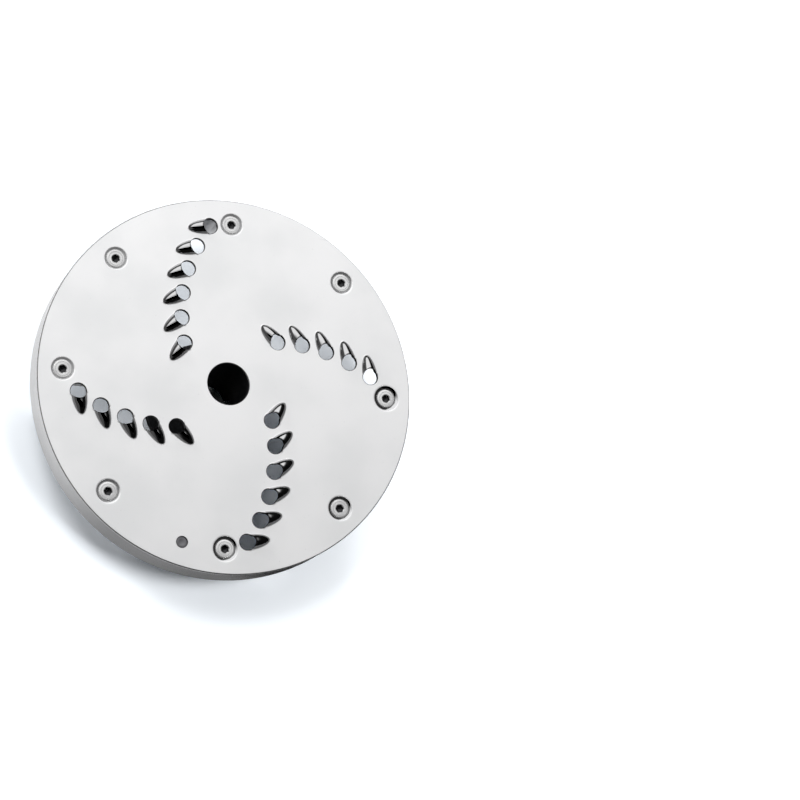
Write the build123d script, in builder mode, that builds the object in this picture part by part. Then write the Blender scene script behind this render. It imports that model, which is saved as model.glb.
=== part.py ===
# Shredding disc of a vegetable cutter: a punched plate on a cast carrier with a moulded drive hub.
# Millimetres. +Z is the axis, teeth up. +Y points at the first screw. The hub stands on Z = 0.
import os
from math import atan2, cos, degrees, radians, sin, sqrt

from build123d import *

os.makedirs("parts", exist_ok=True)

# Disc and heights
disc_radius = 102.5
plate_thickness = 1.5
ring_height = 18.0
hub_drop = 30.5
edge_break = 0.3
ring_foot_chamfer = 0.8

# Shaft fit
shaft_bore_radius = 11.5
plate_bore_clearance = 0.1

# Carrier casting
ring_wall = 11.0
boss_radius = 26.0
spoke_width = 7.0
window_corner_radius = 3.0
lug_radius = 8.5
pin_lug_radius = 6.5

# Plate screws, countersunk at 90 degrees with a hexagon socket
screw_count = 8
screw_edge_distance = 13.5
screw_radius = 2.5
screw_head_radius = 5.0
screw_head_rim = 0.3
screw_head_sink = 0.6
screw_grip = 10.0
screw_socket_flats = 4.0
screw_socket_depth = 2.2
screw_socket_turn = 23.0
seat_clearance = 0.05
dimple_lip_radius = 1.5
thread_end_room = 1.0

# Locating pin, beside the screw at -Y
pin_radius = 3.0
pin_edge_distance = 12.5
pin_screw_arc = 23.562
pin_length = 12.0
pin_sink = 0.7
pin_hole_clearance = 0.15
pin_fit_clearance = 0.02

# Teeth: each is half of a long egg shape pushed up from the sheet behind a round hole
tooth_hole_radius = 4.2
tooth_length = 12.6
tooth_half_width = 4.2
tooth_axis_sink = 1.0
tooth_skin = 1.2
tooth_tail_skin = 1.6
tooth_lean = 3.0

# Rows: the holes of a row lie on an arc that starts beside its quarter line and curls in to the hub
row_teeth = (6, 5, 6, 5)
row_edge_distances = (14.8, 22.1, 17.0, 21.3)
row_lead = 8.0
row_arc_inset = 18.0
row_gap = 5.55
row_slant = 42.2

# Drive hub
hub_sleeve_radius = 14.5
hub_base_radius = 34.0
hub_base_band = 5.0
hub_neck = 6.0
hub_skirt_wall = 2.8
hub_inner_wall = 4.0
hub_flange = 8.0
hub_rib_angle = 7.0
hub_cells = 8
hub_mouth_chamfer = 1.0
sleeve_fit_clearance = 0.05
sleeve_top_room = 0.2
drive_slot_width = 8.0
drive_slot_height = 10.0

# Hub screws, socket heads against the flange
hub_screw_count = 4
hub_screw_angle = 45.0
hub_screw_radius = 2.0
hub_screw_head_radius = 3.5
hub_screw_head_height = 4.0
hub_screw_head_room = 0.1
hub_screw_engagement = 12.0
hub_screw_socket_flats = 3.0
hub_screw_socket_depth = 2.0

# Radii that follow from the disc's edge
ring_inner_radius = disc_radius - ring_wall
screw_circle_radius = disc_radius - screw_edge_distance
pin_circle_radius = disc_radius - pin_edge_distance
pin_angle = 270 - degrees(pin_screw_arc / pin_circle_radius)
row_outer_radii = [disc_radius - distance for distance in row_edge_distances]
row_arc_radius = disc_radius - row_arc_inset
row_pitch = 2 * tooth_hole_radius + row_gap

# Heights that follow from the sizes above
ring_bottom = hub_drop
plate_bottom = ring_bottom + ring_height
plate_top = plate_bottom + plate_thickness
sleeve_top = plate_bottom - sleeve_top_room
flange_bottom = hub_drop - hub_flange

# Hub screws stand midway between the two walls of the hub's ribbed underside, with room for their heads
hub_cell_inner_radius = shaft_bore_radius + hub_inner_wall
hub_screw_circle_radius = hub_cell_inner_radius + hub_screw_head_radius + hub_screw_head_room
hub_cell_outer_radius = hub_screw_circle_radius + hub_screw_head_radius + hub_screw_head_room
hub_top_radius = hub_cell_outer_radius + hub_skirt_wall

# Countersink line of the dimples: its radius at the plate's top, and the depth of its foot
dimple_radius = screw_head_radius + screw_head_rim + screw_head_sink + seat_clearance
dimple_foot = screw_head_sink + screw_head_rim + screw_head_radius - screw_radius
dimple_foot_radius = dimple_radius - dimple_foot
cup_wall = plate_thickness * sqrt(2)


def polar(radius, angle):
    return radius * cos(radians(angle)), radius * sin(radians(angle))


def row_places(teeth, outer_radius, heading):
    # Places of one row's holes, outermost first, each turned so that its local +X points along the tail
    first_angle = heading + row_lead
    x, y = polar(outer_radius, first_angle)
    to_centre = first_angle + 180 - row_slant + 90
    dx, dy = polar(row_arc_radius, to_centre)
    step = degrees(row_pitch / row_arc_radius)
    places = []
    for index in range(teeth):
        ox, oy = polar(row_arc_radius, to_centre + 180 + index * step)
        hole_x = x + dx + ox
        hole_y = y + dy + oy
        tail = degrees(atan2(hole_y, hole_x)) + 90 + tooth_lean
        places.append(Location((hole_x, hole_y, plate_top), (0, 0, tail)))
    return places


tooth_places = []
for row, (teeth, outer_radius) in enumerate(zip(row_teeth, row_outer_radii)):
    tooth_places += row_places(teeth, outer_radius, 90 - 90 * row)

screw_angles = [90 - 360 / screw_count * index for index in range(screw_count)]
screw_places = [Location((*polar(screw_circle_radius, angle), plate_top)) for angle in screw_angles]
pin_place = Location((*polar(pin_circle_radius, pin_angle), plate_top))


def half_egg(length, half_width):
    # Half of an egg shape about the tooth's own axis, tail along +X
    with BuildPart() as egg:
        with BuildSketch(Plane.XZ):
            with Locations((0, -tooth_axis_sink)):
                Ellipse(length, half_width)
            with Locations((0, -tooth_axis_sink)):
                Rectangle(length, half_width, align=(Align.MIN, Align.MIN), mode=Mode.INTERSECT)
        revolve(axis=Axis((0, 0, -tooth_axis_sink), (1, 0, 0)))
    return egg.part


# One tooth: the raised skin above the sheet, and the hollow left under it
with BuildPart() as tooth_skin_solid:
    add(half_egg(tooth_length, tooth_half_width))
    split(bisect_by=Plane.XY.offset(-plate_thickness / 2), keep=Keep.TOP)

tooth_hollow = half_egg(tooth_length - tooth_tail_skin, tooth_half_width - tooth_skin)

# One dimple: the sheet pressed down as a cup, and the dish that opens it from above
with BuildPart() as dimple_cup:
    with BuildSketch(Plane.XZ):
        with BuildLine():
            Polyline(
                (0, -plate_thickness / 2),
                (dimple_radius + cup_wall - plate_thickness, -plate_thickness / 2),
                (dimple_radius + cup_wall - plate_thickness, -plate_thickness),
                (dimple_foot_radius + cup_wall, -dimple_foot),
                (0, -dimple_foot),
                close=True,
            )
        make_face()
    revolve(axis=Axis.Z)

lip_run = dimple_lip_radius * (sqrt(2) - 1)
with BuildPart() as dimple_dish:
    with BuildSketch(Plane.XZ):
        with BuildLine():
            lip = TangentArc(
                (dimple_radius + lip_run, 0),
                (dimple_radius - lip_run / sqrt(2), -lip_run / sqrt(2)),
                tangent=(-1, 0),
            )
            Polyline(
                lip @ 1,
                (dimple_foot_radius, -dimple_foot),
                (dimple_foot_radius, -dimple_foot - plate_thickness),
                (0, -dimple_foot - plate_thickness),
                (0, plate_thickness),
                (dimple_radius + lip_run, plate_thickness),
                lip @ 0,
            )
        make_face()
    revolve(axis=Axis.Z)

# Grating plate
with BuildPart() as grating_plate:
    with BuildSketch(Plane.XY.offset(plate_bottom)):
        Circle(disc_radius)
    extrude(amount=plate_thickness)
    chamfer(grating_plate.faces().sort_by(Axis.Z)[-1].edges(), edge_break)
    with Locations(*tooth_places):
        add(tooth_skin_solid.part)
    with Locations(*screw_places):
        add(dimple_cup.part)
    with Locations(*tooth_places):
        add(tooth_hollow, mode=Mode.SUBTRACT)
    with Locations(*tooth_places):
        Cylinder(tooth_hole_radius, 4 * tooth_half_width, mode=Mode.SUBTRACT)
    with Locations(*screw_places):
        add(dimple_dish.part, mode=Mode.SUBTRACT)
    with Locations((0, 0, plate_top)):
        Hole(shaft_bore_radius + plate_bore_clearance)
    with Locations(pin_place):
        Hole(pin_radius + pin_hole_clearance)
grating_plate.part.label = "grating_plate"
export_step(grating_plate.part, "parts/grating_plate.step")

# Carrier casting: a disc with four windows, seats for the dimples, and blind holes for screws and pin
screw_depth = dimple_foot + screw_grip + thread_end_room
pin_depth = pin_sink + pin_length
with BuildPart() as carrier_body:
    with BuildSketch(Plane.XY.offset(ring_bottom)):
        Circle(disc_radius)
    extrude(amount=ring_height)
    chamfer(carrier_body.faces().sort_by(Axis.Z)[0].edges(), ring_foot_chamfer)
    chamfer(carrier_body.faces().sort_by(Axis.Z)[-1].edges(), edge_break)
    with BuildSketch(Plane.XY.offset(ring_bottom)) as windows:
        Circle(ring_inner_radius)
        Circle(boss_radius, mode=Mode.SUBTRACT)
        Rectangle(2 * ring_inner_radius, spoke_width, mode=Mode.SUBTRACT)
        Rectangle(spoke_width, 2 * ring_inner_radius, mode=Mode.SUBTRACT)
        with PolarLocations(screw_circle_radius, screw_count):
            Circle(lug_radius, mode=Mode.SUBTRACT)
        with Locations(polar(pin_circle_radius, pin_angle)):
            Circle(pin_lug_radius, mode=Mode.SUBTRACT)
        fillet(windows.vertices(), window_corner_radius)
    extrude(amount=ring_height, mode=Mode.SUBTRACT)
    with Locations((0, 0, plate_bottom)):
        Hole(hub_sleeve_radius + sleeve_fit_clearance)
    with Locations(*screw_places):
        with Locations((0, 0, -dimple_foot - seat_clearance)):
            Cone(
                dimple_foot_radius + cup_wall + seat_clearance,
                dimple_radius + cup_wall - plate_thickness + 2 * seat_clearance,
                dimple_foot + seat_clearance - plate_thickness,
                align=(Align.CENTER, Align.CENTER, Align.MIN),
                mode=Mode.SUBTRACT,
            )
        Cylinder(
            screw_radius + seat_clearance,
            screw_depth,
            align=(Align.CENTER, Align.CENTER, Align.MAX),
            mode=Mode.SUBTRACT,
        )
    with Locations(pin_place):
        Cylinder(
            pin_radius + pin_fit_clearance,
            pin_depth,
            align=(Align.CENTER, Align.CENTER, Align.MAX),
            mode=Mode.SUBTRACT,
        )
    with Locations((0, 0, ring_bottom)):
        with PolarLocations(hub_screw_circle_radius, hub_screw_count, start_angle=hub_screw_angle):
            Cylinder(
                hub_screw_radius + seat_clearance,
                hub_screw_engagement + thread_end_room,
                align=(Align.CENTER, Align.CENTER, Align.MIN),
                mode=Mode.SUBTRACT,
            )
carrier_body.part.label = "carrier_body"
export_step(carrier_body.part, "parts/carrier_body.step")

# One cell of the hub's ribbed underside, between two ribs
with BuildPart() as hub_cell:
    with BuildSketch(Plane.XZ):
        with BuildLine():
            flare = TangentArc(
                (hub_cell_outer_radius, flange_bottom),
                (hub_base_radius - hub_skirt_wall, hub_base_band),
                tangent=(0, -1),
            )
            Polyline(
                flare @ 1,
                (hub_base_radius - hub_skirt_wall, 0),
                (hub_cell_inner_radius, 0),
                (hub_cell_inner_radius, flange_bottom),
                flare @ 0,
            )
        make_face()
    revolve(axis=Axis.Z, revolution_arc=360 / hub_cells - hub_rib_angle)

# Drive hub: a sleeve through the carrier's boss, a flange under it and a flared skirt to stand on
with BuildPart() as drive_hub:
    with BuildSketch(Plane.XZ):
        with BuildLine():
            skirt = TangentArc(
                (hub_top_radius, hub_drop - hub_neck),
                (hub_base_radius, hub_base_band),
                tangent=(0, -1),
            )
            Polyline(
                skirt @ 1,
                (hub_base_radius, 0),
                (shaft_bore_radius + hub_mouth_chamfer, 0),
                (shaft_bore_radius, hub_mouth_chamfer),
                (shaft_bore_radius, sleeve_top),
                (hub_sleeve_radius, sleeve_top),
                (hub_sleeve_radius, hub_drop),
                (hub_top_radius, hub_drop),
                skirt @ 0,
            )
        make_face()
    revolve(axis=Axis.Z)
    with PolarLocations(0, hub_cells, start_angle=hub_rib_angle / 2 + 180 / hub_cells):
        add(hub_cell.part, mode=Mode.SUBTRACT)
    Box(
        2 * hub_cell_inner_radius,
        drive_slot_width,
        drive_slot_height,
        align=(Align.CENTER, Align.CENTER, Align.MIN),
        mode=Mode.SUBTRACT,
    )
    with PolarLocations(hub_screw_circle_radius, hub_screw_count, start_angle=hub_screw_angle):
        Cylinder(
            hub_screw_radius + seat_clearance,
            hub_drop,
            align=(Align.CENTER, Align.CENTER, Align.MIN),
            mode=Mode.SUBTRACT,
        )
drive_hub.part.label = "drive_hub"
export_step(drive_hub.part, "parts/drive_hub.step")

# One plate screw, its head's top at Z = 0
with BuildPart() as plate_screw:
    with BuildSketch(Plane.XZ):
        with BuildLine():
            Polyline(
                (0, 0),
                (screw_head_radius, 0),
                (screw_head_radius, -screw_head_rim),
                (screw_radius, screw_head_sink - dimple_foot),
                (screw_radius, screw_head_sink - dimple_foot - screw_grip),
                (0, screw_head_sink - dimple_foot - screw_grip),
                close=True,
            )
        make_face()
    revolve(axis=Axis.Z)
    with BuildSketch():
        RegularPolygon(screw_socket_flats / 2, 6, major_radius=False)
    extrude(amount=-screw_socket_depth, mode=Mode.SUBTRACT)

with BuildPart() as plate_screws:
    for index, place in enumerate(screw_places):
        with Locations(place * Location((0, 0, -screw_head_sink), (0, 0, index * screw_socket_turn))):
            add(plate_screw.part)
plate_screws.part.label = "plate_screws"
export_step(plate_screws.part, "parts/plate_screws.step")

# Hub screws, up through the flange into the boss
with BuildPart() as hub_screw:
    Cylinder(
        hub_screw_radius,
        hub_flange + hub_screw_engagement,
        align=(Align.CENTER, Align.CENTER, Align.MIN),
    )
    Cylinder(
        hub_screw_head_radius,
        hub_screw_head_height,
        align=(Align.CENTER, Align.CENTER, Align.MAX),
    )
    with BuildSketch(Plane.XY.offset(-hub_screw_head_height)):
        RegularPolygon(hub_screw_socket_flats / 2, 6, major_radius=False)
    extrude(amount=hub_screw_socket_depth, mode=Mode.SUBTRACT)

with BuildPart() as hub_screws:
    with Locations((0, 0, flange_bottom)):
        with PolarLocations(hub_screw_circle_radius, hub_screw_count, start_angle=hub_screw_angle):
            add(hub_screw.part)
hub_screws.part.label = "hub_screws"
export_step(hub_screws.part, "parts/hub_screws.step")

# Locating pin, its end just below the plate's top
with BuildPart() as locating_pin:
    with Locations(pin_place * Location((0, 0, -pin_sink))):
        Cylinder(pin_radius, pin_length, align=(Align.CENTER, Align.CENTER, Align.MAX))
    chamfer(locating_pin.edges().filter_by(GeomType.CIRCLE), edge_break)
locating_pin.part.label = "locating_pin"
export_step(locating_pin.part, "parts/locating_pin.step")
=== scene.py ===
import bpy
import bmesh
from math import acos, asin, atan2, cos, degrees, hypot, pi, radians, sin, sqrt
from mathutils import Matrix, Vector


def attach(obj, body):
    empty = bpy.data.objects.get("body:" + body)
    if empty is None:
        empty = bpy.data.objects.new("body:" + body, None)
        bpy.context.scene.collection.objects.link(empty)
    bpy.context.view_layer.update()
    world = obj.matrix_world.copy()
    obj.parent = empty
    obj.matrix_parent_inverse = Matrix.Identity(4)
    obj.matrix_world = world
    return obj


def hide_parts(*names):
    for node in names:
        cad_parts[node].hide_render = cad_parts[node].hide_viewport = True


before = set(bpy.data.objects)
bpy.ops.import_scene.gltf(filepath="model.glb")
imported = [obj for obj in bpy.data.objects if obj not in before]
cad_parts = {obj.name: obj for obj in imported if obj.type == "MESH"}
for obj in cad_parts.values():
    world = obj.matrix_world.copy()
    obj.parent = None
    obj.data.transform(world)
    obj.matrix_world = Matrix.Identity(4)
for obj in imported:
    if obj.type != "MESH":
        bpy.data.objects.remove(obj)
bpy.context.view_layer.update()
mm = 0.001
print("frame loaded:", sorted(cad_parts))


# Shared modelling steps

# how far a level loop may stray, in mm, and how much large faces rule the normals
meshing = {"sameHeight": 0.002, "flatWeight": 80}


def deselectAll():
    if bpy.context.mode != "OBJECT":
        bpy.ops.object.mode_set(mode="OBJECT")
    bpy.ops.object.select_all(action="DESELECT")


def pickOnly(piece):
    deselectAll()
    piece.select_set(True)
    bpy.context.view_layer.objects.active = piece


def editAll(piece):
    pickOnly(piece)
    bpy.ops.object.mode_set(mode="EDIT")
    bpy.ops.mesh.select_all(action="SELECT")


def newObject(name, data):
    holder = bpy.data.objects.new(name, data)
    bpy.context.scene.collection.objects.link(holder)
    return holder


def ringStrip(name, rings):
    # one edge loop, extruded ring by ring; each ring is a list of points in mm
    deselectAll()
    bpy.ops.mesh.primitive_circle_add(vertices=len(rings[0]), radius=1.0)
    strip = bpy.context.object
    strip.name = name
    spoke = strip.data.attributes.new("spoke", "INT", "POINT")
    for index, point in enumerate(rings[0]):
        strip.data.vertices[index].co = Vector(point) * mm
        spoke.data[index].value = index
    editAll(strip)
    for ring in rings[1:]:
        bpy.ops.mesh.extrude_region_move()
        grid = bmesh.from_edit_mesh(strip.data)
        layer = grid.verts.layers.int["spoke"]
        for vertex in grid.verts:
            if vertex.select:
                vertex.co = Vector(ring[vertex[layer]]) * mm
        bmesh.update_edit_mesh(strip.data)
    bpy.ops.object.mode_set(mode="OBJECT")
    strip.data.attributes.remove(strip.data.attributes["spoke"])
    return strip


def turnedRings(profile, steps):
    # profile points (radius, height) turned about the Z axis
    angles = [2 * pi * k / steps for k in range(steps)]
    rings = []
    for radius, height in profile:
        rings.append([(radius * cos(a), radius * sin(a), height) for a in angles])
    return rings


def fillLoopsAt(piece, height):
    # open loops that lie at one height become one flat face with holes
    pickOnly(piece)
    bpy.ops.object.mode_set(mode="EDIT")
    bpy.ops.mesh.select_mode(type="EDGE")
    bpy.ops.mesh.select_all(action="DESELECT")
    grid = bmesh.from_edit_mesh(piece.data)
    for edge in grid.edges:
        atHeight = all(abs(v.co.z - height * mm) < meshing["sameHeight"] * mm for v in edge.verts)
        edge.select_set(edge.is_boundary and atHeight)
    bmesh.update_edit_mesh(piece.data)
    bpy.ops.mesh.fill(use_beauty=True)
    bpy.ops.mesh.select_mode(type="VERT")
    bpy.ops.object.mode_set(mode="OBJECT")


def facesOutward(piece):
    editAll(piece)
    bpy.ops.mesh.normals_make_consistent(inside=False)
    bpy.ops.object.mode_set(mode="OBJECT")


def applyModifier(piece, kind, **values):
    bpy.ops.object.modifier_add(type=kind)
    modifier = piece.modifiers[-1]
    for key, value in values.items():
        setattr(modifier, key, value)
    bpy.ops.object.modifier_apply(modifier=modifier.name)


def smoothBy(piece, angle):
    # large flat faces keep their own normals where they meet an eased edge
    pickOnly(piece)
    bpy.ops.object.shade_smooth_by_angle(angle=radians(angle))
    applyModifier(piece, "WEIGHTED_NORMAL", keep_sharp=True, weight=meshing["flatWeight"])


def markPoints(piece, name, amountAt):
    # one number at each point of the mesh, which the material reads by its name
    marks = piece.data.attributes.new(name, "FLOAT", "POINT")
    for vertex in piece.data.vertices:
        marks.data[vertex.index].value = amountAt(vertex.co)


def placedCopy(piece, name, matrix):
    double = newObject(name, piece.data.copy())
    double.data.transform(matrix)
    return double


def joined(pieces, name):
    deselectAll()
    for piece in pieces:
        piece.select_set(True)
    bpy.context.view_layer.objects.active = pieces[0]
    bpy.ops.object.join()
    pieces[0].name = name
    return pieces[0]


def dressed(piece, material, node):
    piece.data.materials.clear()
    piece.data.materials.append(material)
    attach(piece, "root")
    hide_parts(node)
    return piece


# Shared material steps

def addNode(tree, kind, **values):
    node = tree.nodes.new(kind)
    for key, value in values.items():
        setattr(node, key, value)
    return node


def setOrLink(tree, socket, value):
    # a socket takes a number, a colour or what another node puts out
    if isinstance(value, (int, float)):
        socket.default_value = value
    elif isinstance(value, tuple):
        socket.default_value = (*value, 1.0)
    else:
        tree.links.new(value, socket)


def mathNode(tree, operation, first, second=None):
    node = addNode(tree, "ShaderNodeMath", operation=operation)
    for socket, value in zip(node.inputs, (first, second)):
        if value is not None:
            setOrLink(tree, socket, value)
    return node.outputs[0]


def rangeNode(tree, value, fromLow, fromHigh, toLow=0.0, toHigh=1.0):
    node = addNode(tree, "ShaderNodeMapRange", interpolation_type="SMOOTHSTEP")
    tree.links.new(value, node.inputs["Value"])
    limits = {"From Min": fromLow, "From Max": fromHigh, "To Min": toLow, "To Max": toHigh}
    for key, number in limits.items():
        node.inputs[key].default_value = number
    return node.outputs[0]


def inMetres(lengths):
    return [length * mm for length in lengths]


def noiseNode(tree, vector, scale, detail, roughness):
    node = addNode(tree, "ShaderNodeTexNoise")
    tree.links.new(vector, node.inputs["Vector"])
    setOrLink(tree, node.inputs["Scale"], scale)
    node.inputs["Detail"].default_value = detail
    node.inputs["Roughness"].default_value = roughness
    return node.outputs["Fac"]


def mapped(tree, vector, scale, turn=(0, 0, 0)):
    node = addNode(tree, "ShaderNodeMapping")
    tree.links.new(vector, node.inputs["Vector"])
    node.inputs["Scale"].default_value = scale
    node.inputs["Rotation"].default_value = [radians(a) for a in turn]
    return node.outputs[0]


def mixNode(tree, dataType, socketType, factor, first, second):
    node = addNode(tree, "ShaderNodeMix", data_type=dataType)
    tree.links.new(factor, node.inputs["Factor"])
    for key, value in (("A", first), ("B", second)):
        socket = [s for s in node.inputs if s.name == key and s.type == socketType][0]
        setOrLink(tree, socket, value)
    return [s for s in node.outputs if s.type == socketType][0]


def mixColour(tree, factor, first, second):
    return mixNode(tree, "RGBA", "RGBA", factor, first, second)


def mixValue(tree, factor, first, second):
    return mixNode(tree, "FLOAT", "VALUE", factor, first, second)


def axesOf(tree, vector):
    split = addNode(tree, "ShaderNodeSeparateXYZ")
    tree.links.new(vector, split.inputs[0])
    return split.outputs


def attributeOf(tree, name):
    return addNode(tree, "ShaderNodeAttribute", attribute_name=name).outputs["Fac"]


def nodeGroup(name, inputs, outputs):
    # every socket is a number, apart from the one called Vector
    group = bpy.data.node_groups.new(name, "ShaderNodeTree")
    for names, way in ((inputs, "INPUT"), (outputs, "OUTPUT")):
        for socketName in names:
            kind = "NodeSocketVector" if socketName == "Vector" else "NodeSocketFloat"
            group.interface.new_socket(socketName, in_out=way, socket_type=kind)
    ins = group.nodes.new("NodeGroupInput")
    outs = group.nodes.new("NodeGroupOutput")
    return group, ins.outputs, outs.inputs


def placeGroup(tree, group, sockets):
    node = addNode(tree, "ShaderNodeGroup", node_tree=group)
    for key, value in sockets.items():
        setOrLink(tree, node.inputs[key], value)
    return node.outputs


def newMaterial(name, metallic):
    material = bpy.data.materials.new(name)
    material.use_nodes = True
    tree = material.node_tree
    shader = tree.nodes["Principled BSDF"]
    shader.inputs["Metallic"].default_value = metallic
    coords = addNode(tree, "ShaderNodeTexCoord")
    return material, tree, shader, coords.outputs["Object"]


def bumpInto(tree, shader, height, strength, distance):
    bump = addNode(tree, "ShaderNodeBump")
    bump.inputs["Strength"].default_value = strength
    bump.inputs["Distance"].default_value = distance * mm
    tree.links.new(height, bump.inputs["Height"])
    tree.links.new(bump.outputs["Normal"], shader.inputs["Normal"])


# Effects that several finishes share; a noise is given as its scale, detail and roughness

hairlineLook = {
    "grainStretch": (90, 5200, 400), "grain": (1.0, 3.0, 0.6),
    "lineStretch": (28, 2300, 300), "lineTurn": (0, 0, 24), "line": (1.0, 2.0, 0.5), "lineCut": (0.66, 0.74),
    "patch": (34.0, 2.0, 0.55), "patchCut": (0.5, 0.62),
}


def hairlineGroup():
    # long fine scratches along one direction of a flat face
    look = hairlineLook
    group, ins, outs = nodeGroup("hairlines", ["Vector", "Amount"], ["Lines", "Grain"])
    vector = ins["Vector"]
    grain = noiseNode(group, mapped(group, vector, look["grainStretch"]), *look["grain"])
    stretched = mapped(group, vector, look["lineStretch"], look["lineTurn"])
    sparse = rangeNode(group, noiseNode(group, stretched, *look["line"]), *look["lineCut"])
    patches = rangeNode(group, noiseNode(group, vector, *look["patch"]), *look["patchCut"])
    scratched = mathNode(group, "MULTIPLY", sparse, patches)
    group.links.new(mathNode(group, "MULTIPLY", scratched, ins["Amount"]), outs["Lines"])
    group.links.new(grain, outs["Grain"])
    return group


mottleLook = {"cloud": (5.0, 0.5), "speck": (900.0, 2.0, 0.55), "speckCut": (0.7, 0.78)}


def mottleGroup():
    # soft clouds of wear and handling, at a scale that the material hands in, and fine specks
    look = mottleLook
    group, ins, outs = nodeGroup("mottle", ["Vector", "Scale"], ["Clouds", "Specks"])
    clouds = noiseNode(group, ins["Vector"], ins["Scale"], *look["cloud"])
    specks = noiseNode(group, ins["Vector"], *look["speck"])
    group.links.new(clouds, outs["Clouds"])
    group.links.new(rangeNode(group, specks, *look["speckCut"]), outs["Specks"])
    return group


turnedLook = {
    "aroundScale": 1.2, "ring": (1.0, 3.0, 0.65),
    "streakStretch": (0.35, 6.0, 1.0), "streak": (1.0, 3.0, 0.6),
}


def turnedGroup():
    # rings left by a lathe, from a radius or height that the material hands in
    look = turnedLook
    group, ins, outs = nodeGroup("turnedRings", ["Along", "Around", "Pitch"], ["Rings", "Streaks"])
    pack = addNode(group, "ShaderNodeCombineXYZ")
    group.links.new(mathNode(group, "MULTIPLY", ins["Along"], ins["Pitch"]), pack.inputs["X"])
    group.links.new(mathNode(group, "MULTIPLY", ins["Around"], look["aroundScale"]), pack.inputs["Y"])
    rings = noiseNode(group, pack.outputs[0], *look["ring"])
    streaks = noiseNode(group, mapped(group, pack.outputs[0], look["streakStretch"]), *look["streak"])
    group.links.new(rings, outs["Rings"])
    group.links.new(streaks, outs["Streaks"])
    return group


hairlines = hairlineGroup()
mottle = mottleGroup()
turned = turnedGroup()


# Finishes

# the plate's own sizes stand here, because its finish changes with the height over the sheet
plate = {
    "radius": 102.5, "top": 50.0, "thickness": 1.5, "underBreak": 0.12, "sharpAngle": 32,
    "edgeDrop": 0.4, "edgeRun": 0.55, "edgeShoulder": (0.1, 0.8), "edgeSteps": 360, "edgeBurnish": 0.5,
    "boreRadius": 11.6, "boreBreak": 0.2, "boreSteps": 96,
    "pinHoleRadius": 3.15, "pinAngle": 255.0, "pinCircle": 90.0, "pinSteps": 48,
}

plateLook = {
    "bright": (0.76, 0.76, 0.765), "dull": (0.725, 0.73, 0.735), "mark": (0.4, 0.4, 0.41),
    "polished": (0.5, 0.5, 0.505), "paintedHoleShade": (0.04, 0.04, 0.042), "holeShadeEdge": (0.3, 0.9),
    "sheetMetal": 0.8, "formedMetal": 1.0, "sheetRoughness": (0.3, 0.34), "formedRoughness": 0.12,
    "cloudScale": 26.0, "cloudCut": (0.35, 0.7), "roughCut": (0.3, 0.75), "speckAmount": 0.35,
    "scratchAmount": 0.6, "scratchRoughness": 0.25, "grainRelief": 0.3, "bump": (0.25, 0.02),
    "raised": (0.05, 0.35), "sunk": (-0.16, -0.02), "under": (-1.45, -1.2),
}


def plateSteel():
    look = plateLook
    material, tree, shader, coords = newMaterial("plateSteel", look["formedMetal"])
    lines = placeGroup(tree, hairlines, {"Vector": coords, "Amount": look["scratchAmount"]})
    clouds = placeGroup(tree, mottle, {"Vector": coords, "Scale": look["cloudScale"]})

    # forming polishes the raised teeth, and by their own amounts the dimples, holes and edges
    height = mathNode(tree, "SUBTRACT", axesOf(tree, coords)["Z"], plate["top"] * mm)
    raised = rangeNode(tree, height, *inMetres(look["raised"]))
    sunk = rangeNode(tree, height, *inMetres(look["sunk"]), 1.0, 0.0)
    wall = mathNode(tree, "MULTIPLY", sunk, rangeNode(tree, height, *inMetres(look["under"])))
    pressed = mathNode(tree, "MULTIPLY", wall, attributeOf(tree, "burnish"))
    formed = mathNode(tree, "MAXIMUM", raised, pressed)

    cloudy = rangeNode(tree, clouds["Clouds"], *look["cloudCut"])
    base = mixColour(tree, cloudy, look["bright"], look["dull"])
    speckled = mathNode(tree, "MULTIPLY", clouds["Specks"], look["speckAmount"])
    base = mixColour(tree, speckled, base, look["mark"])
    base = mixColour(tree, formed, base, look["polished"])
    # painted shade: hole walls and their upper breaks are coloured near-black, standing in for the shade
    # inside the holes
    paintedHoleShade = rangeNode(tree, attributeOf(tree, "holeShadeWall"), *look["holeShadeEdge"])
    tree.links.new(mixColour(tree, paintedHoleShade, base, look["paintedHoleShade"]), shader.inputs["Base Color"])
    metal = mixValue(tree, formed, look["sheetMetal"], look["formedMetal"])
    tree.links.new(metal, shader.inputs["Metallic"])

    sheet = rangeNode(tree, clouds["Clouds"], *look["roughCut"], *look["sheetRoughness"])
    scratched = mathNode(tree, "MULTIPLY", lines["Lines"], look["scratchRoughness"])
    sheet = mathNode(tree, "ADD", sheet, scratched)
    tree.links.new(mixValue(tree, formed, sheet, look["formedRoughness"]), shader.inputs["Roughness"])
    grain = mathNode(tree, "MULTIPLY", lines["Grain"], look["grainRelief"])
    relief = mathNode(tree, "SUBTRACT", grain, lines["Lines"])
    flat = mathNode(tree, "SUBTRACT", 1.0, formed)
    bumpInto(tree, shader, mathNode(tree, "MULTIPLY", relief, flat), *look["bump"])
    return material


carrierLook = {
    "metal": 1.0, "turnedFrom": (100.8, 101.2), "ringPitch": 2600.0, "ringRelief": 0.35,
    "turnedColour": (0.56, 0.565, 0.575), "streakColour": (0.46, 0.465, 0.48),
    "turnedRoughness": (0.16, 0.26), "streakCut": (0.3, 0.7),
    "castColour": (0.56, 0.565, 0.575), "castShade": (0.48, 0.485, 0.5), "castRoughness": 0.5,
    "cloudScale": 60.0, "cloudCut": (0.3, 0.7), "grain": (700.0, 4.0, 0.6), "bump": (0.35, 0.05),
}


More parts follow.
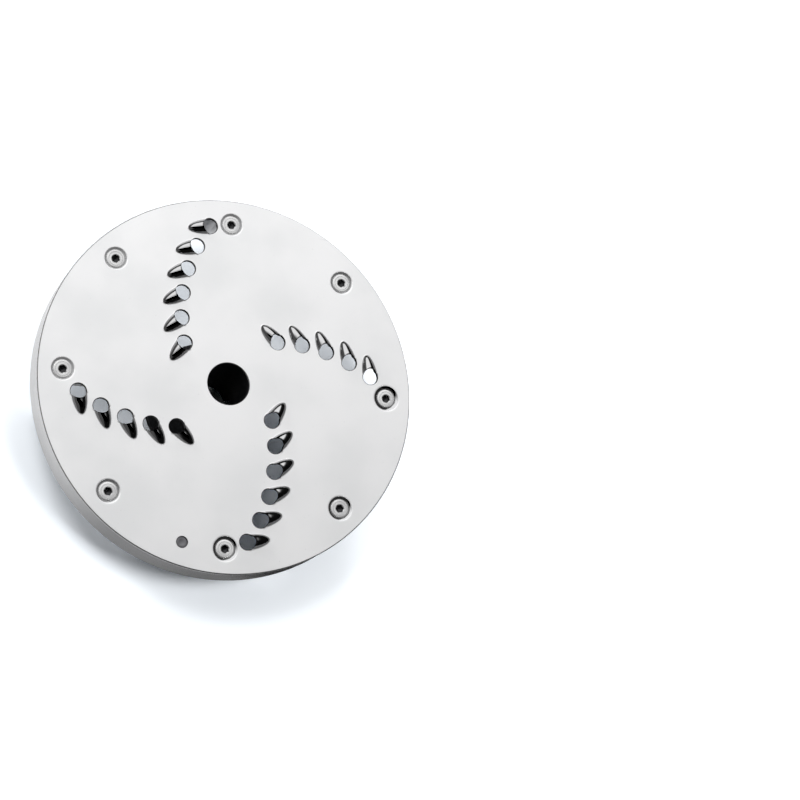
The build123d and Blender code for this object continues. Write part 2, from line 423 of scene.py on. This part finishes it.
def turnedAluminium():
    look = carrierLook
    material, tree, shader, coords = newMaterial("turnedAluminium", look["metal"])
    x, y, z = axesOf(tree, coords)
    squares = [mathNode(tree, "MULTIPLY", axis, axis) for axis in (x, y)]
    radius = mathNode(tree, "SQRT", mathNode(tree, "ADD", *squares))
    around = mathNode(tree, "ARCTAN2", y, x)
    outside = rangeNode(tree, radius, *inMetres(look["turnedFrom"]))
    rings = placeGroup(tree, turned, {"Along": z, "Around": around, "Pitch": look["ringPitch"]})
    clouds = placeGroup(tree, mottle, {"Vector": coords, "Scale": look["cloudScale"]})
    cloudy = rangeNode(tree, clouds["Clouds"], *look["cloudCut"])
    cast = mixColour(tree, cloudy, look["castColour"], look["castShade"])
    machined = mixColour(tree, rings["Streaks"], look["turnedColour"], look["streakColour"])
    tree.links.new(mixColour(tree, outside, cast, machined), shader.inputs["Base Color"])
    fine = rangeNode(tree, rings["Streaks"], *look["streakCut"], *look["turnedRoughness"])
    tree.links.new(mixValue(tree, outside, look["castRoughness"], fine), shader.inputs["Roughness"])
    grain = noiseNode(tree, coords, *look["grain"])
    ridges = mathNode(tree, "MULTIPLY", rings["Rings"], look["ringRelief"])
    bumpInto(tree, shader, mixValue(tree, outside, grain, ridges), *look["bump"])
    return material


mouldLook = {
    "metal": 0.0, "colour": (0.006, 0.006, 0.007), "worn": (0.02, 0.02, 0.022), "wornCut": (0.55, 0.8),
    "roughness": (0.5, 0.65), "roughCut": (0.3, 0.7), "gloss": 0.22, "cloudScale": 70.0,
    "grain": (2600.0, 2.0, 0.5), "bump": (0.3, 0.03),
}


def darkMoulding():
    look = mouldLook
    material, tree, shader, coords = newMaterial("darkMoulding", look["metal"])
    shader.inputs["Specular IOR Level"].default_value = look["gloss"]
    clouds = placeGroup(tree, mottle, {"Vector": coords, "Scale": look["cloudScale"]})
    worn = rangeNode(tree, clouds["Clouds"], *look["wornCut"])
    tree.links.new(mixColour(tree, worn, look["colour"], look["worn"]), shader.inputs["Base Color"])
    rough = rangeNode(tree, clouds["Clouds"], *look["roughCut"], *look["roughness"])
    tree.links.new(rough, shader.inputs["Roughness"])
    bumpInto(tree, shader, noiseNode(tree, coords, *look["grain"]), *look["bump"])
    return material


fastenerLook = {
    "metal": 0.8, "cloudScale": 160.0, "toneCut": (0.15, 0.4), "socketShadeDepth": (0.1, 1.0),
    "roughCut": (0.3, 0.7), "ringStrength": 0.3,
}

screwLook = {
    "bright": (0.6, 0.6, 0.6), "dull": (0.5, 0.5, 0.505), "paintedSocketShade": (0.03, 0.03, 0.032),
    "roughness": (0.2, 0.32), "ringPitch": 4200.0, "ringDepth": 0.03,
}

pinLook = {
    "bright": (0.2, 0.2, 0.21), "dull": (0.15, 0.15, 0.16), "paintedSocketShade": (0.1, 0.1, 0.1),
    "roughness": (0.4, 0.55), "ringPitch": 5200.0, "ringDepth": 0.02,
}


def turnedFastener(name, look):
    # rings follow the fastener's own axis through attributes of its mesh, and painted shade darkens its
    # socket with depth
    shared = fastenerLook
    material, tree, shader, coords = newMaterial(name, shared["metal"])
    reach = attributeOf(tree, "axisRadius")
    rings = placeGroup(tree, turned, {"Along": reach, "Pitch": look["ringPitch"]})
    clouds = placeGroup(tree, mottle, {"Vector": coords, "Scale": shared["cloudScale"]})
    tone = mathNode(tree, "MULTIPLY", rings["Rings"], clouds["Clouds"])
    face = mixColour(tree, rangeNode(tree, tone, *shared["toneCut"]), look["bright"], look["dull"])
    # painted shade: the socket is coloured darker the deeper it lies
    deep = rangeNode(tree, attributeOf(tree, "socketDepth"), *inMetres(shared["socketShadeDepth"]))
    tree.links.new(mixColour(tree, deep, face, look["paintedSocketShade"]), shader.inputs["Base Color"])
    rough = rangeNode(tree, clouds["Clouds"], *shared["roughCut"], *look["roughness"])
    tree.links.new(rough, shader.inputs["Roughness"])
    bumpInto(tree, shader, rings["Rings"], shared["ringStrength"], look["ringDepth"])
    return material


plateFinish = plateSteel()
carrierFinish = turnedAluminium()
hubFinish = darkMoulding()
screwFinish = turnedFastener("screwSteel", screwLook)
pinFinish = turnedFastener("pinSteel", pinLook)
print("materials made")


# Grating plate: strips for every tooth, dimple, hole and edge, joined by one flat sheet above and below

# lengths in mm; rootShare, breakKnee and breakReach are shares, and slack counts as touching
tooth = {
    "holeRadius": 4.2, "length": 12.6, "halfWidth": 4.2, "axisSink": 1.0, "skin": 1.2, "tailSkin": 1.6,
    "lean": 3.0, "tailSteps": 44, "openSteps": 22, "slack": 0.01,
    "crownRings": 9, "rootRound": 0.4, "rootShare": 0.5, "rootRings": 3, "apron": 0.35,
    "holeBreak": 0.35, "breakKnee": 0.3, "breakReach": 1.05, "openApron": 0.7,
    "hollowRings": 5, "hollowSlack": 0.05, "hollowBreak": 0.15, "hollowApron": 0.5,
    "underApron": 0.9, "underRun": 0.78,
}

rows = {
    "teeth": (6, 5, 6, 5), "outerRadii": (87.7, 80.4, 85.5, 81.2), "lead": 8.0, "arcRadius": 84.5,
    "pitch": 13.95, "slant": 42.2,
}

# the screws at the right and near side were driven harder, which rounds and polishes the lip more
dimple = {
    "count": 8, "circle": 89.0, "radius": 5.95, "foot": 3.4, "footRadius": 2.55,
    "lipRounds": (1.5, 2.0, 4.2, 3.0, 3.4, 2.3, 1.5, 1.5), "lipRings": 9, "apron": 0.25, "steps": 64,
    "burnish": (0.05, 0.3, 0.9, 0.85, 0.85, 0.35, 0.05, 0.05),
}


def polar(radius, angle):
    return radius * cos(radians(angle)), radius * sin(radians(angle))


def toothSpokes():
    # directions round a hole, close together where the tail ends
    ratio = tooth["halfWidth"] / tooth["length"]
    tail = [-90 + 180 * k / tooth["tailSteps"] for k in range(tooth["tailSteps"] + 1)]
    spokes = [degrees(atan2(ratio * sin(radians(t)), cos(radians(t)))) for t in tail]
    spokes += [90 + 180 * k / tooth["openSteps"] for k in range(1, tooth["openSteps"])]
    return spokes


def eggReach(angle, length, halfWidth):
    return 1 / sqrt((cos(radians(angle)) / length) ** 2 + (sin(radians(angle)) / halfWidth) ** 2)


def toothCrown(angle):
    # section over the top of the tooth, from the hole's lip out to the sheet
    hole, sink, half = tooth["holeRadius"], tooth["axisSink"], tooth["halfWidth"]
    crown, root = tooth["crownRings"], tooth["rootRings"]
    count = crown + root + 1
    facesTail = abs(angle) < 90
    reach = eggReach(angle, tooth["length"], half)
    base = asin(sink / half)
    corner = reach * cos(base)
    if not facesTail or corner <= hole + tooth["slack"]:
        edge = tooth["holeBreak"]
        knee = tooth["breakKnee"] * edge
        points = [(hole, -edge), (hole + knee, -knee)]
        flat = count - len(points)
        points += [(hole + edge + tooth["openApron"] * k / (flat - 1), 0.0) for k in range(flat)]
        return points
    lip = acos(min(1.0, hole / reach))
    rootRound = min(tooth["rootRound"], tooth["rootShare"] * (lip - base) * half)
    start = base + rootRound / half
    points = []
    for k in range(crown):
        turn = lip + (start - lip) * k / (crown - 1)
        points.append((reach * cos(turn), half * sin(turn) - sink))
    first, last = points[-1], (corner + rootRound, 0.0)
    for k in range(1, root + 1):
        t = k / root
        a, b, c = (1 - t) ** 2, 2 * t * (1 - t), t ** 2
        points.append((a * first[0] + b * corner + c * last[0], a * first[1] + c * last[1]))
    points.append((last[0] + tooth["apron"], 0.0))
    return points


def toothHollow(angle):
    # section under the tooth, from the sheet's underside in to the hole
    hole, sink, under = tooth["holeRadius"], tooth["axisSink"], -plate["thickness"]
    half = tooth["halfWidth"] - tooth["skin"]
    reach = eggReach(angle, tooth["length"] - tooth["tailSkin"], half)
    count = tooth["hollowRings"]
    if abs(angle) >= 90 or reach <= hole + tooth["hollowSlack"]:
        outer = hole + tooth["underApron"]
        points = [(outer - tooth["underRun"] * k / count, under) for k in range(count + 2)]
        return points + [(hole, under + tooth["holeBreak"])]
    lip = acos(hole / reach)
    edge = tooth["hollowBreak"]
    points = [(reach + tooth["hollowApron"], under), (reach + edge, under), (reach, under + edge)]
    for k in range(count):
        turn = lip * k / (count - 1)
        points.append((reach * cos(turn), half * sin(turn) - sink))
    return points


def holeShadeAt(point):
    # painted shade: the cut wall of a hole and the break at its upper edge are marked to be coloured
    # near-black
    gap = hypot(point.x, point.y) / mm - tooth["holeRadius"]
    onWall = abs(gap) < tooth["slack"]
    onBreak = point.z < tooth["slack"] * mm and gap < tooth["breakReach"] * tooth["holeBreak"]
    return 1.0 if onWall or onBreak else 0.0


def toothStrip():
    spokes = toothSpokes()
    sections = [toothHollow(a) + toothCrown(a) for a in spokes]
    rings = []
    for index in range(len(sections[0])):
        ring = []
        for angle, section in zip(spokes, sections):
            radius, height = section[index]
            ring.append((*polar(radius, angle), height))
        rings.append(ring)
    strip = ringStrip("toothStrip", rings)
    markPoints(strip, "holeShadeWall", holeShadeAt)
    return strip


def toothMatrices():
    places = []
    for row, (count, outerRadius) in enumerate(zip(rows["teeth"], rows["outerRadii"])):
        firstAngle = 90 - 90 * row + rows["lead"]
        x, y = polar(outerRadius, firstAngle)
        toCentre = firstAngle + 180 - rows["slant"] + 90
        dx, dy = polar(rows["arcRadius"], toCentre)
        step = degrees(rows["pitch"] / rows["arcRadius"])
        for k in range(count):
            ox, oy = polar(rows["arcRadius"], toCentre + 180 + k * step)
            place = Vector((x + dx + ox, y + dy + oy, plate["top"])) * mm
            tail = atan2(place.y, place.x) + radians(90 + tooth["lean"])
            places.append(Matrix.Translation(place) @ Matrix.Rotation(tail, 4, "Z"))
    return places


def burnished(strip, amount):
    # how far pressing has polished the metal below the sheet's top
    markPoints(strip, "burnish", lambda point: amount)
    return strip


def dimpleStrip(lipRound):
    # both sides of the wall slope at 45 degrees, and the lip rounds over into the sheet
    wall = plate["thickness"] * sqrt(2)
    outer = dimple["radius"] + lipRound * (sqrt(2) - 1)
    profile = [(dimple["radius"] + wall - plate["thickness"], -plate["thickness"])]
    profile += [(dimple["footRadius"] + wall, -dimple["foot"]), (dimple["footRadius"], -dimple["foot"])]
    for k in range(dimple["lipRings"] + 1):
        turn = radians(45) * (1 - k / dimple["lipRings"])
        profile.append((outer - lipRound * sin(turn), lipRound * (cos(turn) - 1)))
    profile.append((outer + dimple["apron"], 0.0))
    return ringStrip("dimpleStrip", turnedRings(profile, dimple["steps"]))


def edgeProfile(radius, drop, run, side):
    # a hole's wall for side 1, the sheet's own rim for side -1
    under, small = -plate["thickness"], plate["underBreak"]
    runShare, dropShare = plate["edgeShoulder"]
    return [
        (radius + side * small, under), (radius, under + small), (radius, -drop),
        (radius + side * runShare * run, -dropShare * drop), (radius + side * run, 0.0),
    ]


screwAngles = [90 - 360 / dimple["count"] * k for k in range(dimple["count"])]
plateTop = Matrix.Translation((0, 0, plate["top"] * mm))


def screwMatrix(angle, turn=0.0):
    x, y = polar(dimple["circle"] * mm, angle)
    return Matrix.Translation((x, y, plate["top"] * mm)) @ Matrix.Rotation(radians(turn), 4, "Z")


def buildPlate():
    oneTooth = burnished(toothStrip(), plate["edgeBurnish"])
    strips = [placedCopy(oneTooth, "toothStrip", matrix) for matrix in toothMatrices()]
    bpy.data.objects.remove(oneTooth)
    for angle, lipRound, amount in zip(screwAngles, dimple["lipRounds"], dimple["burnish"]):
        strip = burnished(dimpleStrip(lipRound), amount)
        strip.data.transform(screwMatrix(angle))
        strips.append(strip)
    rim = edgeProfile(plate["radius"], plate["edgeDrop"], plate["edgeRun"], -1)
    bore = edgeProfile(plate["boreRadius"], plate["boreBreak"], plate["boreBreak"], 1)
    pinHole = edgeProfile(plate["pinHoleRadius"], plate["underBreak"], plate["underBreak"], 1)
    x, y = polar(plate["pinCircle"] * mm, plate["pinAngle"])
    atPin = Matrix.Translation((x, y, 0)) @ plateTop
    for profile, steps, matrix in (
        (rim, plate["edgeSteps"], plateTop),
        (bore, plate["boreSteps"], plateTop),
        (pinHole, plate["pinSteps"], atPin),
    ):
        strip = burnished(ringStrip("edgeStrip", turnedRings(profile, steps)), plate["edgeBurnish"])
        strip.data.transform(matrix)
        strips.append(strip)
    piece = joined(strips, "gratingPlate")
    fillLoopsAt(piece, plate["top"])
    fillLoopsAt(piece, plate["top"] - plate["thickness"])
    facesOutward(piece)
    smoothBy(piece, plate["sharpAngle"])
    return dressed(piece, plateFinish, "grating_plate")


gratingPlate = buildPlate()
print("grating plate modelled,", len(gratingPlate.data.polygons), "faces")


# Fasteners: turned strips whose inner rings become a hexagon socket

# the drilled floor's radii and the reach past the corners are shares of the width across flats
hexSocket = {
    "mouth": 0.18, "mouthDepth": 0.25, "drillRadius": 0.25, "drillDepth": 0.25, "pointRadius": 0.025,
    "pointDepth": 0.6, "reach": 0.59,
}

# rounds are steps in from the head's radius, each with its distance from the face
plateScrew = {
    "headRadius": 5.0, "headRim": 0.3, "rimRound": ((0.0, 0.14), (0.06, 0.04), (0.16, 0.0)), "sink": 0.6,
    "shankRadius": 2.5, "grip": 10.0, "tipBevel": 0.6, "flats": 4.0, "socketDepth": 2.2, "socketTurn": 23.0,
    "lineRadius": 3.75, "lineMouth": 0.16, "lineFloor": 0.06, "lineDepth": 0.07,
    "steps": 72, "sharpAngle": 25,
}

hubScrew = {
    "headRadius": 3.5, "headHeight": 4.0, "seatBreak": 0.25, "faceRound": ((0.1, 0.35), (0.4, 0.0)),
    "knurlDepth": 0.12, "knurlEnd": 0.6, "shankRadius": 2.0, "flange": 8.0, "engagement": 12.0,
    "tipBevel": 0.4, "flats": 3.0, "socketDepth": 2.0, "circle": 19.1, "seat": 22.5, "count": 4,
    "firstAngle": 45.0, "steps": 72, "sharpAngle": 25,
}

pin = {
    "radius": 3.0, "sink": 0.7, "length": 12.0, "chamfer": 0.3, "chamferKnee": 0.09, "centre": 0.1,
    "dishRadii": (1.5, 1.35), "dishDepths": (0.03, 0.05), "steps": 64, "sharpAngle": 30,
}


def hexRing(flats, height, steps):
    ring = []
    for k in range(steps):
        angle = 360 * k / steps
        reach = flats / 2 / cos(radians((angle % 60) - 30))
        ring.append((*polar(reach, angle), height))
    return ring


def socketRings(flats, depth, steps):
    # a small countersink, six flat walls and a drilled point, down from a face at height 0
    corner = flats / 2 / cos(radians(30))
    mouth = turnedRings([(corner + hexSocket["mouth"], 0.0)], steps)
    walls = [hexRing(flats, -hexSocket["mouthDepth"], steps), hexRing(flats, -depth, steps)]
    drilled = [
        (flats * hexSocket["drillRadius"], -depth - hexSocket["drillDepth"]),
        (flats * hexSocket["pointRadius"], -depth - hexSocket["pointDepth"]),
    ]
    return mouth + walls + turnedRings(drilled, steps)


def markAxisAndSocketShade(piece, socketRadius, socketTop):
    # each point keeps its distance from the axis, and how deep it lies in the socket, which sets the painted
    # socket shade
    def axisRadiusAt(point):
        return hypot(point.x, point.y)

    def socketDepthAt(point):
        inSocket = axisRadiusAt(point) < socketRadius * mm
        return abs(point.z - socketTop * mm) if inSocket else 0.0

    markPoints(piece, "axisRadius", axisRadiusAt)
    markPoints(piece, "socketDepth", socketDepthAt)


def closedPiece(name, rings, sharpAngle, socketRadius=0.0, socketTop=0.0):
    piece = ringStrip(name, rings)
    for ring in (rings[0], rings[-1]):
        fillLoopsAt(piece, ring[0][2])
    facesOutward(piece)
    markAxisAndSocketShade(piece, socketRadius, socketTop)
    smoothBy(piece, sharpAngle)
    return piece


def buildPlateScrews():
    size = plateScrew
    head, shank, steps = size["headRadius"], size["shankRadius"], size["steps"]
    neck = -size["headRim"] - head + shank
    tip, bevel = neck - size["grip"], size["tipBevel"]
    line, mouth = size["lineRadius"], size["lineMouth"]
    floor, depth = size["lineFloor"], size["lineDepth"]
    profile = [(shank - bevel, tip), (shank, tip + bevel), (shank, neck), (head, -size["headRim"])]
    profile += [(head - inward, -below) for inward, below in size["rimRound"]]
    profile += [(line + mouth, 0.0), (line + floor, -depth), (line - floor, -depth), (line - mouth, 0.0)]
    rings = turnedRings(profile, steps) + socketRings(size["flats"], size["socketDepth"], steps)
    model = closedPiece("plateScrewModel", rings, size["sharpAngle"], hexSocket["reach"] * size["flats"])
    down = Matrix.Translation((0, 0, -size["sink"] * mm))
    for index, angle in enumerate(screwAngles):
        place = screwMatrix(angle, index * size["socketTurn"]) @ down
        screw = placedCopy(model, "plateScrew_%d" % (index + 1), place)
        dressed(screw, screwFinish, "plate_screws")
    bpy.data.objects.remove(model)


def knurledRing(radius, height, size):
    ring = []
    for k in range(size["steps"]):
        reach = radius - (size["knurlDepth"] if k % 2 else 0.0)
        ring.append((*polar(reach, 360 * k / size["steps"]), height))
    return ring


def buildHubScrews():
    size = hubScrew
    head, shank, steps = size["headRadius"], size["shankRadius"], size["steps"]
    tip, bevel = size["flange"] + size["engagement"], size["tipBevel"]
    face, seatBreak = -size["headHeight"], size["seatBreak"]
    shaft = [(shank - bevel, tip), (shank, tip - bevel), (shank, 0.0), (head - seatBreak, 0.0)]
    rings = turnedRings(shaft, steps)
    rings += [knurledRing(head, -seatBreak, size), knurledRing(head, face + size["knurlEnd"], size)]
    rings += turnedRings([(head - inward, face + above) for inward, above in size["faceRound"]], steps)
    upward = socketRings(size["flats"], size["socketDepth"], steps)
    rings += [[(x, y, face - z) for x, y, z in ring] for ring in upward]
    model = closedPiece("hubScrewModel", rings, size["sharpAngle"], hexSocket["reach"] * size["flats"], face)
    for index in range(size["count"]):
        x, y = polar(size["circle"] * mm, size["firstAngle"] + 360 / size["count"] * index)
        place = Matrix.Translation((x, y, size["seat"] * mm))
        screw = placedCopy(model, "hubScrew_%d" % (index + 1), place)
        dressed(screw, screwFinish, "hub_screws")
    bpy.data.objects.remove(model)


def buildPin():
    size = pin
    radius, end, bevel, knee = size["radius"], -size["length"], size["chamfer"], size["chamferKnee"]
    dishEdge, dishFloor = size["dishRadii"]
    floorDepth, centreDepth = size["dishDepths"]
    profile = [(size["centre"], end), (radius - bevel, end), (radius, end + bevel)]
    profile += [(radius, -bevel), (radius - knee, -knee), (radius - bevel, 0.0)]
    profile += [(dishEdge, 0.0), (dishFloor, -floorDepth), (size["centre"], -centreDepth)]
    piece = closedPiece("locatingPin", turnedRings(profile, size["steps"]), size["sharpAngle"])
    x, y = polar(plate["pinCircle"] * mm, plate["pinAngle"])
    piece.data.transform(Matrix.Translation((x, y, (plate["top"] - size["sink"]) * mm)))
    dressed(piece, pinFinish, "locating_pin")


buildPlateScrews()
buildHubScrews()
buildPin()
print("screws and pin modelled")


# Carrier and hub: merged copies of their nodes with every sharp edge eased

castEdges = {
    "merge": 0.002, "flatAngle": 0.4, "edgeAngle": 32.0, "carrier": 0.45, "hub": 0.5, "segments": 2,
    "sharpAngle": 40,
}


def easedCopy(node, name, width):
    close = castEdges["merge"] * mm
    piece = newObject(name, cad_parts[node].data.copy())
    pickOnly(piece)
    bpy.ops.mesh.customdata_custom_splitnormals_clear()
    editAll(piece)
    bpy.ops.mesh.remove_doubles(threshold=close)
    bpy.ops.mesh.dissolve_limited(angle_limit=radians(castEdges["flatAngle"]))
    bpy.ops.object.mode_set(mode="OBJECT")
    applyModifier(
        piece, "BEVEL", width=width * mm, segments=castEdges["segments"],
        limit_method="ANGLE", angle_limit=radians(castEdges["edgeAngle"]),
    )
    editAll(piece)
    bpy.ops.mesh.remove_doubles(threshold=close)
    bpy.ops.mesh.dissolve_degenerate(threshold=close)
    bpy.ops.object.mode_set(mode="OBJECT")
    smoothBy(piece, castEdges["sharpAngle"])
    return piece


carrierRing = easedCopy("carrier_body", "carrierRing", castEdges["carrier"])
dressed(carrierRing, carrierFinish, "carrier_body")
driveHub = easedCopy("drive_hub", "driveHub", castEdges["hub"])
dressed(driveHub, hubFinish, "drive_hub")
print("carrier and hub eased,", len(carrierRing.data.polygons), len(driveHub.data.polygons), "faces")


# Floor, light and camera

floorLook = {
    "size": 6.0, "bounce": (0.47, 0.5, 0.54), "seen": (0.96, 1.0, 1.04), "bounceCut": 0.5,
    "mirroredWay": (-0.77, 0.64), "mirroredDark": (-0.1, -0.082, 0.02, 0.26),
    "mirroredLight": (-0.02, 0.08, 0.0, 0.55), "mirroredNear": (0.122, 0.15), "mirroredFar": 0.5,
}


def mirroredFloor(tree):
    # painted reflection for the turned edge: the floor that metal sees is light close to the disc on the
    # left and dark on the right
    look = floorLook
    coords = addNode(tree, "ShaderNodeTexCoord").outputs["Object"]
    place = axesOf(tree, coords)
    across = mathNode(tree, "MULTIPLY", place["X"], look["mirroredWay"][0])
    along = mathNode(tree, "MULTIPLY", place["Y"], look["mirroredWay"][1])
    reach = mathNode(tree, "ADD", across, along)
    dark = rangeNode(tree, reach, *look["mirroredDark"])
    light = rangeNode(tree, reach, *look["mirroredLight"])
    radius = addNode(tree, "ShaderNodeVectorMath", operation="LENGTH")
    tree.links.new(coords, radius.inputs[0])
    away = rangeNode(tree, radius.outputs["Value"], *look["mirroredNear"])
    return mixValue(tree, away, mathNode(tree, "ADD", dark, light), look["mirroredFar"])


def floorMaterial():
    # the camera and reflections see another floor than the one that bounces light under the disc
    look = floorLook
    material = bpy.data.materials.new("paleFloor")
    material.use_nodes = True
    tree = material.node_tree
    tree.nodes.remove(tree.nodes["Principled BSDF"])
    diffuse = addNode(tree, "ShaderNodeBsdfDiffuse")
    rays = addNode(tree, "ShaderNodeLightPath").outputs
    # a glossy ray that has met no matt surface yet comes straight off the metal
    unscattered = mathNode(tree, "LESS_THAN", rays["Diffuse Depth"], look["bounceCut"])
    mirrored = mathNode(tree, "MULTIPLY", rays["Is Glossy Ray"], unscattered)
    direct = mathNode(tree, "MAXIMUM", rays["Is Camera Ray"], rays["Is Transmission Ray"])
    colour = mixColour(tree, mirrored, look["bounce"], mirroredFloor(tree))
    tree.links.new(mixColour(tree, direct, colour, look["seen"]), diffuse.inputs["Color"])
    tree.links.new(diffuse.outputs[0], tree.nodes["Material Output"].inputs["Surface"])
    return material


def studioFloor():
    bpy.ops.mesh.primitive_plane_add(size=floorLook["size"], location=(0, 0, 0))
    floor = bpy.context.object
    floor.name = "studioFloor"
    floor.data.materials.append(floorMaterial())


sky = {
    "lowest": 0.02, "boxLeft": (-1.25, -0.8), "boxRight": (0.46, 0.74), "boxNear": (-0.42, -0.12),
    "boxFar": (2.2, 3.2), "boxLight": 1.1, "slopeFrom": 0.28, "slope": 2.8, "slopeMost": 0.36,
    "wallEdge": (-0.55, -0.3), "wallLight": (0.12, 0.006),
}


def studioSky():
    # one large softbox overhead, a dim wall on the left and darkness elsewhere
    world = bpy.data.worlds.new("studioSky")
    bpy.context.scene.world = world
    world.use_nodes = True
    tree = world.node_tree
    background = tree.nodes["Background"]
    coords = addNode(tree, "ShaderNodeTexCoord")
    x, y, z = axesOf(tree, coords.outputs["Generated"])
    height = mathNode(tree, "MAXIMUM", z, sky["lowest"])
    across = mathNode(tree, "DIVIDE", x, height)
    along = mathNode(tree, "DIVIDE", y, height)
    left = rangeNode(tree, across, *sky["boxLeft"])
    right = rangeNode(tree, across, *sky["boxRight"], 1.0, 0.0)
    near = rangeNode(tree, along, *sky["boxNear"])
    far = rangeNode(tree, along, *sky["boxFar"], 1.0, 0.0)
    betweenSides = mathNode(tree, "MULTIPLY", left, right)
    betweenEnds = mathNode(tree, "MULTIPLY", near, far)
    inside = mathNode(tree, "MULTIPLY", betweenSides, betweenEnds)
    slope = mathNode(tree, "MULTIPLY", mathNode(tree, "SUBTRACT", along, sky["slopeFrom"]), sky["slope"])
    light = mathNode(tree, "ADD", mathNode(tree, "MINIMUM", slope, sky["slopeMost"]), sky["boxLight"])
    wall = rangeNode(tree, x, *sky["wallEdge"], *sky["wallLight"])
    tree.links.new(mixValue(tree, inside, wall, light), background.inputs["Strength"])
    background.inputs["Color"].default_value = (1.0, 1.0, 1.0, 1.0)


lamps = (
    {"name": "keyLeft", "place": (-0.728, 0.611, 1.9), "size": 0.6, "power": 18.0},
    {"name": "keyNear", "place": (0.6, -0.346, 1.9), "size": 0.6, "power": 29.0},
    {"name": "lowBack", "place": (0.316, 1.178, 0.456), "size": 0.2, "power": 8.5},
    {"name": "lowLeft", "place": (-0.904, 0.904, 0.36), "size": 0.2, "power": 14.0},
)


def studioLamps():
    # metal mirrors the softbox in the sky, so the lamps stay out of reflections
    for lamp in lamps:
        light = bpy.data.lights.new(lamp["name"], "AREA")
        light.shape = "SQUARE"
        light.size = lamp["size"]
        light.energy = lamp["power"]
        holder = newObject(lamp["name"], light)
        holder.location = lamp["place"]
        holder.visible_glossy = False
        holder.rotation_euler = (-Vector(lamp["place"])).to_track_quat("-Z", "Y").to_euler()


view = {"place": (-0.3163, -0.3128, 1.176), "aim": (0.0969, -0.0002, 0.05), "lens": 102.35, "sensor": 36.0}


def photoCamera():
    camera = bpy.data.cameras.new("photoCamera")
    camera.lens = view["lens"]
    camera.sensor_width = view["sensor"]
    holder = newObject("photoCamera", camera)
    forward = (Vector(view["aim"]) - Vector(view["place"])).normalized()
    right = forward.cross(Vector((0, 1, 0))).normalized()
    up = right.cross(forward)
    turn = Matrix((right, up, -forward)).transposed().to_4x4()
    holder.matrix_world = Matrix.Translation(view["place"]) @ turn
    bpy.context.scene.camera = holder


studioFloor()
studioSky()
studioLamps()
photoCamera()
bpy.context.scene.view_settings.view_transform = "Standard"
print("studio set")
